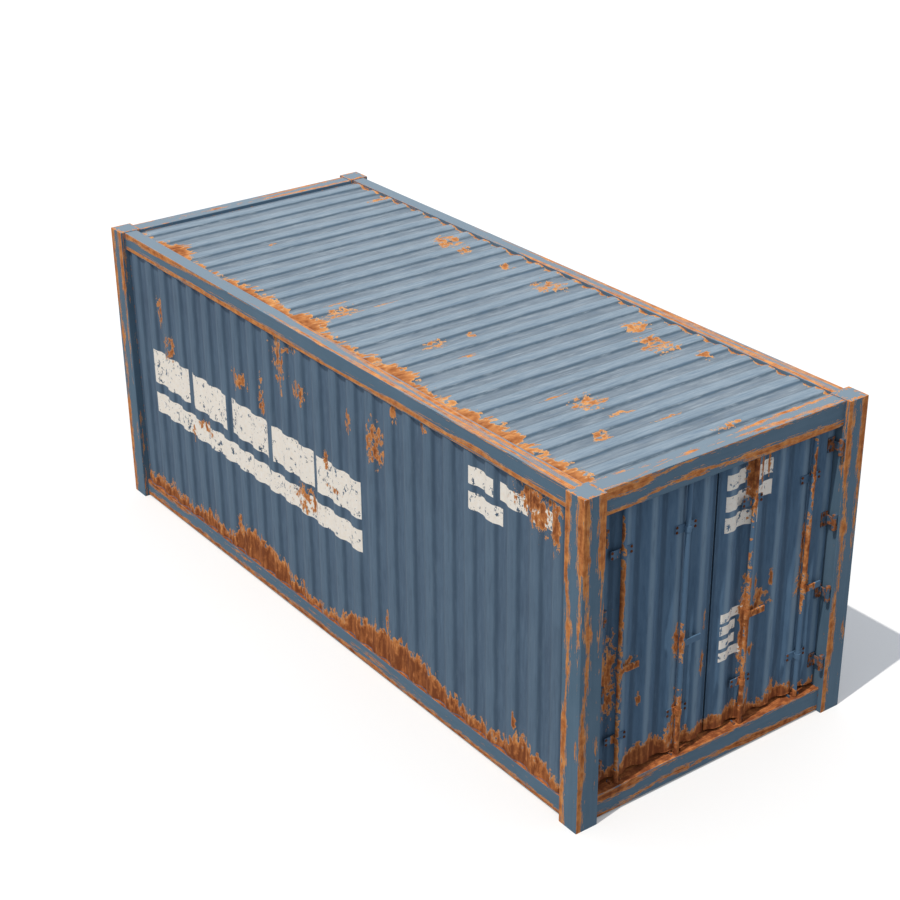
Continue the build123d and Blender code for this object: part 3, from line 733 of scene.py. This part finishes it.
def newTree(name, sizes):
    tree = bpy.data.node_groups.new(name, "GeometryNodeTree")
    kinds = {int: "NodeSocketInt", float: "NodeSocketFloat", bpy.types.Material: "NodeSocketMaterial"}
    tree.interface.new_socket("Geometry", in_out="INPUT", socket_type="NodeSocketGeometry")
    for key, value in sizes.items():
        tree.interface.new_socket(key, in_out="INPUT", socket_type=kinds[type(value)])
    tree.interface.new_socket("Geometry", in_out="OUTPUT", socket_type="NodeSocketGeometry")
    add = partial(addNode, tree)
    return tree, add, add("NodeGroupInput").outputs


# every rule ends in plain geometry with its material
def closeTree(add, shape, finish):
    shape = add("GeometryNodeRealizeInstances", [shape])
    shape = add("GeometryNodeSetMaterial", {"Geometry": shape, "Material": finish})
    add("NodeGroupOutput", [shape])


def newMesh(name, spots, links=(), faces=()):
    mesh = bpy.data.meshes.new(name)
    mesh.from_pydata(spots, links, faces)
    return mesh


def growPiece(name, tree, sizes, start=None, thickness=0.0, softEdge=0.0, place=None):
    piece = bpy.data.objects.new(name, start or bpy.data.meshes.new(name + "Start"))
    bpy.context.scene.collection.objects.link(piece)
    rule = piece.modifiers.new("rule", "NODES")
    rule.node_group = tree
    for item in tree.interface.items_tree:
        if item.in_out == "INPUT" and item.name in sizes:
            rule[item.identifier] = sizes[item.name]
    if thickness:
        wall = piece.modifiers.new("wall", "SOLIDIFY")
        wall.thickness = thickness
        wall.offset = -1.0
    if softEdge:
        edge = piece.modifiers.new("softEdge", "BEVEL")
        edge.width = softEdge
        edge.segments = 2
    ready = piece.evaluated_get(bpy.context.evaluated_depsgraph_get())
    mesh = bpy.data.meshes.new_from_object(ready)
    mesh.name = name
    piece.modifiers.clear()
    piece.data = mesh
    if place:
        mesh.transform(place)
    mesh.set_sharp_from_angle(angle=math.radians(sharpDegrees))
    return piece


sheetRule = {"columnsPerWave": 26, "rows": 34, "soft": 0.35, "dentFade": 0.25}


# corrugated sheet: a flat grid lifted by a rounded trapezoid wave, with slight dents away from its edges
def sheetTree(sizes):
    tree, add, size = newTree("corrugatedSheet", sizes)
    grid = add("GeometryNodeMeshGrid", {"Size X": size["length"], "Size Y": size["rise"],
                                        "Vertices X": size["columns"], "Vertices Y": size["rows"]})
    point = add("GeometryNodeInputPosition")
    parts = add("SeparateXYZ", [point])
    halfLength = add("Math.MULTIPLY", [size["length"], 0.5])
    halfRise = add("Math.MULTIPLY", [size["rise"], 0.5])
    along = add("Math.MULTIPLY_ADD", [parts.outputs["X"], size["flip"], halfLength])
    along = add("Math.MINIMUM", [along, size["waveEnd"]])
    halfPitch = add("Math.MULTIPLY", [size["pitch"], 0.5])
    climb = add("Math.PINGPONG", [along, halfPitch])
    climb = add("Math.DIVIDE", [climb, size["slope"]])
    middle = add("Math.DIVIDE", [size["pitch"], size["slope"]])
    middle = add("Math.MULTIPLY_ADD", [middle, -0.25, 0.5])
    level = add("Math.ADD", [climb, middle])
    level = add("Math.SMOOTH_MIN", [level, 1.0, size["soft"]])
    level = add("Math.SMOOTH_MAX", [level, 0.0, size["soft"]])
    lift = add("Math.MULTIPLY", [level, size["depth"]])
    spread = add("Math.DIVIDE", [1.0, size["dentSize"]])
    cloud = add("TexNoise", {"Vector": point, "Scale": spread, "Detail": 2.0})
    cloud = add("Math.SUBTRACT", [cloud, 0.5])
    fade = None
    for axis, half in (("X", halfLength), ("Y", halfRise)):
        flat = add("Math.ABSOLUTE", [parts.outputs[axis]])
        edge = add("Math.SUBTRACT", [half, flat])
        edge = add("MapRange", {"Value": edge, "From Max": sheetRule["dentFade"]},
                   interpolation_type="SMOOTHSTEP")
        fade = add("Math.MULTIPLY", [fade, edge]) if fade else edge
    dent = add("Math.MULTIPLY", [cloud, fade])
    lift = add("Math.MULTIPLY_ADD", [dent, size["dent"], lift])
    offset = add("CombineXYZ", {"Z": lift})
    shape = add("GeometryNodeSetPosition", {"Geometry": grid, "Offset": offset})
    shape = add("GeometryNodeSetShadeSmooth", {"Geometry": shape})
    closeTree(add, shape, size["finish"])
    return tree


def axesAt(along, up, out, centre):
    turn = Matrix((along, up, out)).transposed().to_4x4()
    return Matrix.Translation(centre) @ turn


xAxis, yAxis, zAxis = Vector((1, 0, 0)), Vector((0, 1, 0)), Vector((0, 0, 1))
seams = {"frame": [], "left_door": [], "right_door": []}  # lines on each body that are welded


# the four edges of a sheet; its grid's points run up each column, one column after another
def addSeams(body, piece, columns, rows):
    spots = [v.co.copy() for v in piece.data.vertices[:columns * rows]]
    seams[body] += [spots[0::rows], spots[rows - 1::rows], spots[:rows], spots[-rows:]]


def makeSheets():
    # node, axes along, up and outward, sheet, finish, body, slot, and -1 where the waves run back
    rows = [("left_wall", (xAxis, zAxis, -yAxis), wallSheet, "wall", "frame", "wall_paint", 1),
            ("right_wall", (-xAxis, zAxis, yAxis), wallSheet, "wall", "frame", "wall_paint", 1),
            ("front_wall", (-yAxis, zAxis, -xAxis), frontSheet, "front", "frame", "wall_paint", 1),
            ("roof", (xAxis, yAxis, zAxis), roofSheet, "roof", "frame", "roof_paint", 1)]
    for hand, side in hands.items():
        rows.append((hand + "_door_skin", (yAxis, zAxis, xAxis), doorSheet, "leaf", hand + "_door",
                     "door_paint", side))
    tree = None
    for node, axes, sheet, finish, body, slot, side in rows:
        low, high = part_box(node)
        length, rise, total = (abs((high - low).dot(axis)) for axis in axes)
        pitch = wavePitch(length, sheet)
        columns = round(length / pitch * sheetRule["columnsPerWave"]) + 1
        sizes = {"length": length, "rise": rise, "columns": columns, "rows": sheetRule["rows"],
                 "pitch": pitch, "waveEnd": length - sheet["hingeFlat"], "flip": float(side),
                 "depth": total - sheetThickness, "slope": sheet["slope"], "soft": sheetRule["soft"],
                 "dent": sheet["dent"], "dentSize": sheet["dentSize"], "finish": finishes[finish]}
        tree = tree or sheetTree(sizes)
        centre = (low + high) / 2 + axes[2] * (sheetThickness - total / 2)
        piece = growPiece(node + "Sheet", tree, sizes, thickness=sheetThickness,
                          place=axesAt(*axes, centre))
        addSeams(body, piece, columns, sheetRule["rows"])
        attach(piece, body)
        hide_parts(node)


makeSheets()
print("sheets made")


# boards in rows on the points of a grid; every second row starts with half a board
def boardTree(sizes):
    tree, add, size = newTree("floorBoards", sizes)
    columns = add("Math.ADD", [size["boardsInRow"], 1.0])
    grid = add("GeometryNodeMeshGrid", {"Vertices X": columns, "Vertices Y": size["rows"]})
    index = add("GeometryNodeInputIndex")
    row = add("Math.MODULO", [index, size["rows"]])
    column = add("Math.DIVIDE", [index, size["rows"]])
    column = add("Math.FLOOR", [column])
    shifted = add("Math.MODULO", [row, 2.0])
    first = add("Math.LESS_THAN", [column, 0.5])
    beyond = add("Math.SUBTRACT", [size["boardsInRow"], 0.5])
    last = add("Math.GREATER_THAN", [column, beyond])

    boardLength = add("Math.DIVIDE", [size["length"], size["boardsInRow"]])
    rowWidth = add("Math.DIVIDE", [size["width"], size["rows"]])
    lean = add("Math.SUBTRACT", [first, last])
    lean = add("Math.MULTIPLY_ADD", [lean, 0.25, -0.5])
    lean = add("Math.MULTIPLY_ADD", [lean, shifted, 0.5])
    middle = add("Math.ADD", [column, lean])
    middle = add("Math.MULTIPLY", [middle, boardLength])
    across = add("Math.ADD", [row, 0.5])
    across = add("Math.MULTIPLY", [across, rowWidth])
    spot = add("CombineXYZ", {"X": middle, "Y": across})
    corner = add("CombineXYZ", {"X": size["length"], "Y": size["width"]})
    corner = add("VectorMath.SCALE", [corner, -0.5])
    spot = add("VectorMath.ADD", [spot, corner])
    points = add("GeometryNodeSetPosition", {"Geometry": grid, "Position": spot})

    ends = add("Math.MAXIMUM", [first, last])
    halved = add("Math.MULTIPLY", [ends, shifted])
    share = add("Math.MULTIPLY_ADD", [halved, -0.5, 1.0])
    boardLength = add("Math.MULTIPLY", [boardLength, share])
    boardLength = add("Math.SUBTRACT", [boardLength, size["gap"]])
    boardWidth = add("Math.SUBTRACT", [rowWidth, size["gap"]])
    stretch = add("CombineXYZ", {"X": boardLength, "Y": boardWidth, "Z": size["height"]})
    spare = add("Math.GREATER_THAN", [last, shifted])
    wanted = add("Math.SUBTRACT", [1.0, spare])
    board = add("GeometryNodeMeshCube")
    boards = add("GeometryNodeInstanceOnPoints",
                 {"Points": points, "Selection": wanted, "Instance": board, "Scale": stretch})
    shape = add("GeometryNodeJoinGeometry", {"Geometry": boards})
    tree.links.new(size["Geometry"], shape.inputs[0])
    closeTree(add, shape, size["finish"])
    return tree


def makeFloor():
    low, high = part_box("floor")
    middle, half = (low.z + high.z) / 2, (high.z - low.z) / 2
    gap, tongueHalf = floorRule["gap"], floorRule["tongueHalf"]
    sizes = {"length": 2 * high.x, "width": high.y - low.y, "height": 2 * half, "gap": gap,
             "rows": floorRule["rows"], "boardsInRow": floorRule["boardsInRow"],
             "finish": finishes["board"]}
    # one board lies across the front end, between the posts
    spots = [(x, y, z) for x in (low.x, -high.x - gap / 2) for y in (-tongueHalf, tongueHalf)
             for z in (-half, half)]
    sides = [(0, 1, 3, 2), (4, 6, 7, 5), (0, 4, 5, 1), (2, 3, 7, 6), (0, 2, 6, 4), (1, 5, 7, 3)]
    tongue = newMesh("frontBoard", spots, faces=sides)
    piece = growPiece("floorBoards", boardTree(sizes), sizes, start=tongue, softEdge=floorRule["softEdge"],
                      place=Matrix.Translation((0, 0, middle)))
    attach(piece, "frame")
    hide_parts("floor")


makeFloor()

headRule = {"sides": 6, "radius": 0.0075, "height": 0.0045, "washerRadius": 0.0105, "washerHeight": 0.0015,
            "seed": 4, "finish": finishes["bolt"]}
washerSides = 16


# a head on a washer at each point of the start mesh, turned at random
def headTree():
    tree, add, size = newTree("boltHeads", headRule)
    head = add("GeometryNodeMeshCylinder",
               {"Vertices": size["sides"], "Radius": size["radius"], "Depth": size["height"]})
    washer = add("GeometryNodeMeshCylinder",
                 {"Vertices": washerSides, "Radius": size["washerRadius"], "Depth": size["washerHeight"]})
    lift = add("Math.MULTIPLY_ADD", [size["height"], 0.5, size["washerHeight"]])
    rise = add("CombineXYZ", {"Z": lift})
    head = add("GeometryNodeTransform", {"Geometry": head.outputs["Mesh"], "Translation": rise})
    bolt = add("GeometryNodeJoinGeometry", {"Geometry": head})
    tree.links.new(washer.outputs["Mesh"], bolt.inputs[0])
    turn = add("FunctionNodeRandomValue", {"Max": math.tau, "Seed": size["seed"]}, data_type="FLOAT")
    turn = add("CombineXYZ", {"Z": turn})
    turn = add("FunctionNodeEulerToRotation", {"Euler": turn})
    shape = add("GeometryNodeInstanceOnPoints",
                {"Points": size["Geometry"], "Instance": bolt, "Rotation": turn})
    closeTree(add, shape, size["finish"])
    return tree


# distances in metres: bolts on the guide plates and on the hinge straps of a leaf, screws in the boards
boltPlan = {"guideFront": 2.937, "guideRises": (0.5305, 1.914), "besideBar": 0.078, "guideHalf": 0.018,
            "strapFront": 2.939, "strapMiddle": 0.987, "strapHalf": 0.035,
            "strapRises": (0.4205, 0.9817, 1.5428, 2.104)}
screwPlan = {"members": 18, "flange": 0.045, "sides": 10, "radius": 0.0065, "height": 0.0004,
             "washerRadius": 0.0085, "washerHeight": 0.0002}


def makeBolts():
    tree = headTree()
    for hand, side in hands.items():
        spots = []
        for bar in lockBars:
            for rise in boltPlan["guideRises"]:
                spots += [(side * bar + y, rise + z, boltPlan["guideFront"])
                          for y in (-boltPlan["besideBar"], boltPlan["besideBar"])
                          for z in (-boltPlan["guideHalf"], boltPlan["guideHalf"])]
        for rise in boltPlan["strapRises"]:
            spots += [(side * boltPlan["strapMiddle"], rise + z, boltPlan["strapFront"])
                      for z in (-boltPlan["strapHalf"], boltPlan["strapHalf"])]
        piece = growPiece(hand + "DoorBolts", tree, headRule, start=newMesh(hand + "BoltSpots", spots),
                          place=axesAt(yAxis, zAxis, xAxis, Vector()))
        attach(piece, hand + "_door")

    low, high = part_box("floor_cross_members")
    boardLow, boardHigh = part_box("floor")
    first, last = low.x + screwPlan["flange"] / 2, high.x - screwPlan["flange"] / 2
    columns, rows = screwPlan["members"], 2 * floorRule["rows"]
    spots = [(first + (last - first) * i / (columns - 1),
              boardLow.y + (boardHigh.y - boardLow.y) * (j + 0.5) / rows, boardHigh.z)
             for i in range(columns) for j in range(rows)]
    sizes = {key: screwPlan.get(key, value) for key, value in headRule.items()}
    piece = growPiece("floorScrews", tree, sizes, start=newMesh("screwSpots", spots))
    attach(piece, "frame")


makeBolts()

beadSides = 6
weldRule = {"radius": 0.0034, "step": 0.014, "wobble": 0.22, "seed": 11, "finish": finishes["weld"]}


# a bead of uneven thickness along the lines of the start mesh
def weldTree():
    tree, add, size = newTree("weldBeads", weldRule)
    line = add("GeometryNodeMeshToCurve", {"Mesh": size["Geometry"]})
    line = add("GeometryNodeResampleCurve", {"Curve": line, "Length": size["step"]}, mode="LENGTH")
    ring = add("GeometryNodeCurvePrimitiveCircle", {"Resolution": beadSides, "Radius": size["radius"]})
    thin = add("Math.SUBTRACT", [1.0, size["wobble"]])
    thick = add("Math.ADD", [1.0, size["wobble"]])
    swell = add("FunctionNodeRandomValue", {"Min": thin, "Max": thick, "Seed": size["seed"]},
                data_type="FLOAT")
    bead = add("GeometryNodeCurveToMesh",
               {"Curve": line, "Profile Curve": ring.outputs["Curve"], "Scale": swell, "Fill Caps": True})
    shape = add("GeometryNodeSetShadeSmooth", {"Geometry": bead})
    closeTree(add, shape, size["finish"])
    return tree


def makeWelds():
    for member in ("left_top_rail", "right_top_rail", "left_bottom_rail", "right_bottom_rail",
                   "front_header", "front_sill", "door_header", "door_sill"):
        low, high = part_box(member)
        run = 0 if member.endswith("_rail") else 1  # the ends of a rail or beam are welded to the posts
        for end in (low[run], high[run]):
            loop = []
            for corner in ((low[1 - run], low.z), (high[1 - run], low.z), (high[1 - run], high.z),
                           (low[1 - run], high.z), (low[1 - run], low.z)):
                spot = Vector((corner[0], corner[0], corner[1]))
                spot[run] = end
                loop.append(spot)
            seams["frame"].append(loop)
    tree = weldTree()
    for body, lines in seams.items():
        spots, links = [], []
        for line in lines:
            links += [(len(spots) + i, len(spots) + i + 1) for i in range(len(line) - 1)]
            spots += line
        sizes = {**weldRule, "finish": finishes["weld" if body == "frame" else "bar"]}
        piece = growPiece(body + "Welds", tree, sizes, start=newMesh(body + "WeldLines", spots, links))
        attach(piece, body)


makeWelds()
print("boards, bolts, screws and welds made")


# Floor, light and camera

studio = {
    "floorSize": 90.0, "floorTone": "#e0e0e0", "floorGlow": 0.13, "floorBounce": "#7c7c7c",
    "skyTint": "#eef5ff", "skyStrength": 0.64,
    "sunFrom": (0.066, -0.417, 0.906), "sunTint": (1.0, 0.955, 0.89), "sunStrength": 2.65,
    "sunSpreadDegrees": 0.6, "sunDistance": 12.0,
}
view = {"eye": (10.169, -7.4015, 7.4512), "aim": (-0.3316, 0.2599, 1.0), "rollDegrees": -0.61,
        "lensMm": 72.8, "sensorMm": 36.0, "farEnd": 200.0}


# 1 for what an eye or a mirror sees, 0 for bounced light
def seenDirectly(add):
    path = add("LightPath")
    seen = add("Math.MAXIMUM", [path.outputs["Is Camera Ray"], path.outputs["Is Glossy Ray"]])
    return add("Math.MAXIMUM", [seen, path.outputs["Is Transmission Ray"]])


# plain pale floor that keeps the shadow: white to the eye, greyer as a source of bounced light
def floorFinish():
    finish, add, _ = openFinish("paleStudioFloor")
    seen = seenDirectly(add)
    tone = add("Mix.RGBA", [seen, studio["floorBounce"], studio["floorTone"]])
    glow = add("Math.MULTIPLY", [seen, studio["floorGlow"]])
    shader = add("BsdfPrincipled",
                 {"Base Color": tone, "Roughness": 1.0, "Specular IOR Level": 0.0,
                  "Emission Color": "#ffffff", "Emission Strength": glow})
    add("OutputMaterial", {"Surface": shader})
    return finish


def makeStudio():
    half = studio["floorSize"] / 2
    corners = [(-half, -half, 0), (half, -half, 0), (half, half, 0), (-half, half, 0)]
    mesh = newMesh("studioFloor", corners, faces=[(0, 1, 2, 3)])
    mesh.materials.append(floorFinish())
    floor = bpy.data.objects.new("studioFloor", mesh)
    bpy.context.scene.collection.objects.link(floor)

    world = bpy.data.worlds.new("studioSky")
    world.use_nodes = True
    world.node_tree.nodes.clear()
    add = partial(addNode, world.node_tree)
    seen = seenDirectly(add)
    strength = add("MapRange", {"Value": seen, "To Min": studio["skyStrength"], "To Max": 1.0})
    tint = add("Mix.RGBA", [seen, studio["skyTint"], "#ffffff"])
    sky = add("Background", {"Color": tint, "Strength": strength})
    add("OutputWorld", {"Surface": sky})
    bpy.context.scene.world = world

    sun = bpy.data.lights.new("studioSun", "SUN")
    sun.energy = studio["sunStrength"]
    sun.color = studio["sunTint"]
    sun.angle = math.radians(studio["sunSpreadDegrees"])
    lamp = bpy.data.objects.new("studioSun", sun)
    lamp.rotation_mode = "QUATERNION"
    lamp.rotation_quaternion = Vector(studio["sunFrom"]).to_track_quat("Z", "Y")
    lamp.location = Vector(studio["sunFrom"]) * studio["sunDistance"]
    bpy.context.scene.collection.objects.link(lamp)


def makeCamera():
    lens = bpy.data.cameras.new("photoView")
    lens.lens = view["lensMm"]
    lens.sensor_width = view["sensorMm"]
    lens.clip_end = view["farEnd"]
    camera = bpy.data.objects.new("photoView", lens)
    eye = Vector(view["eye"])
    look = (Vector(view["aim"]) - eye).to_track_quat("-Z", "Y").to_matrix()
    roll = Matrix.Rotation(math.radians(view["rollDegrees"]), 3, "Z")
    camera.matrix_world = Matrix.Translation(eye) @ (look @ roll).to_4x4()
    bpy.context.scene.collection.objects.link(camera)
    bpy.context.scene.camera = camera


makeStudio()
makeCamera()
bpy.context.scene.view_settings.view_transform = "Standard"
print("studio and camera ready")
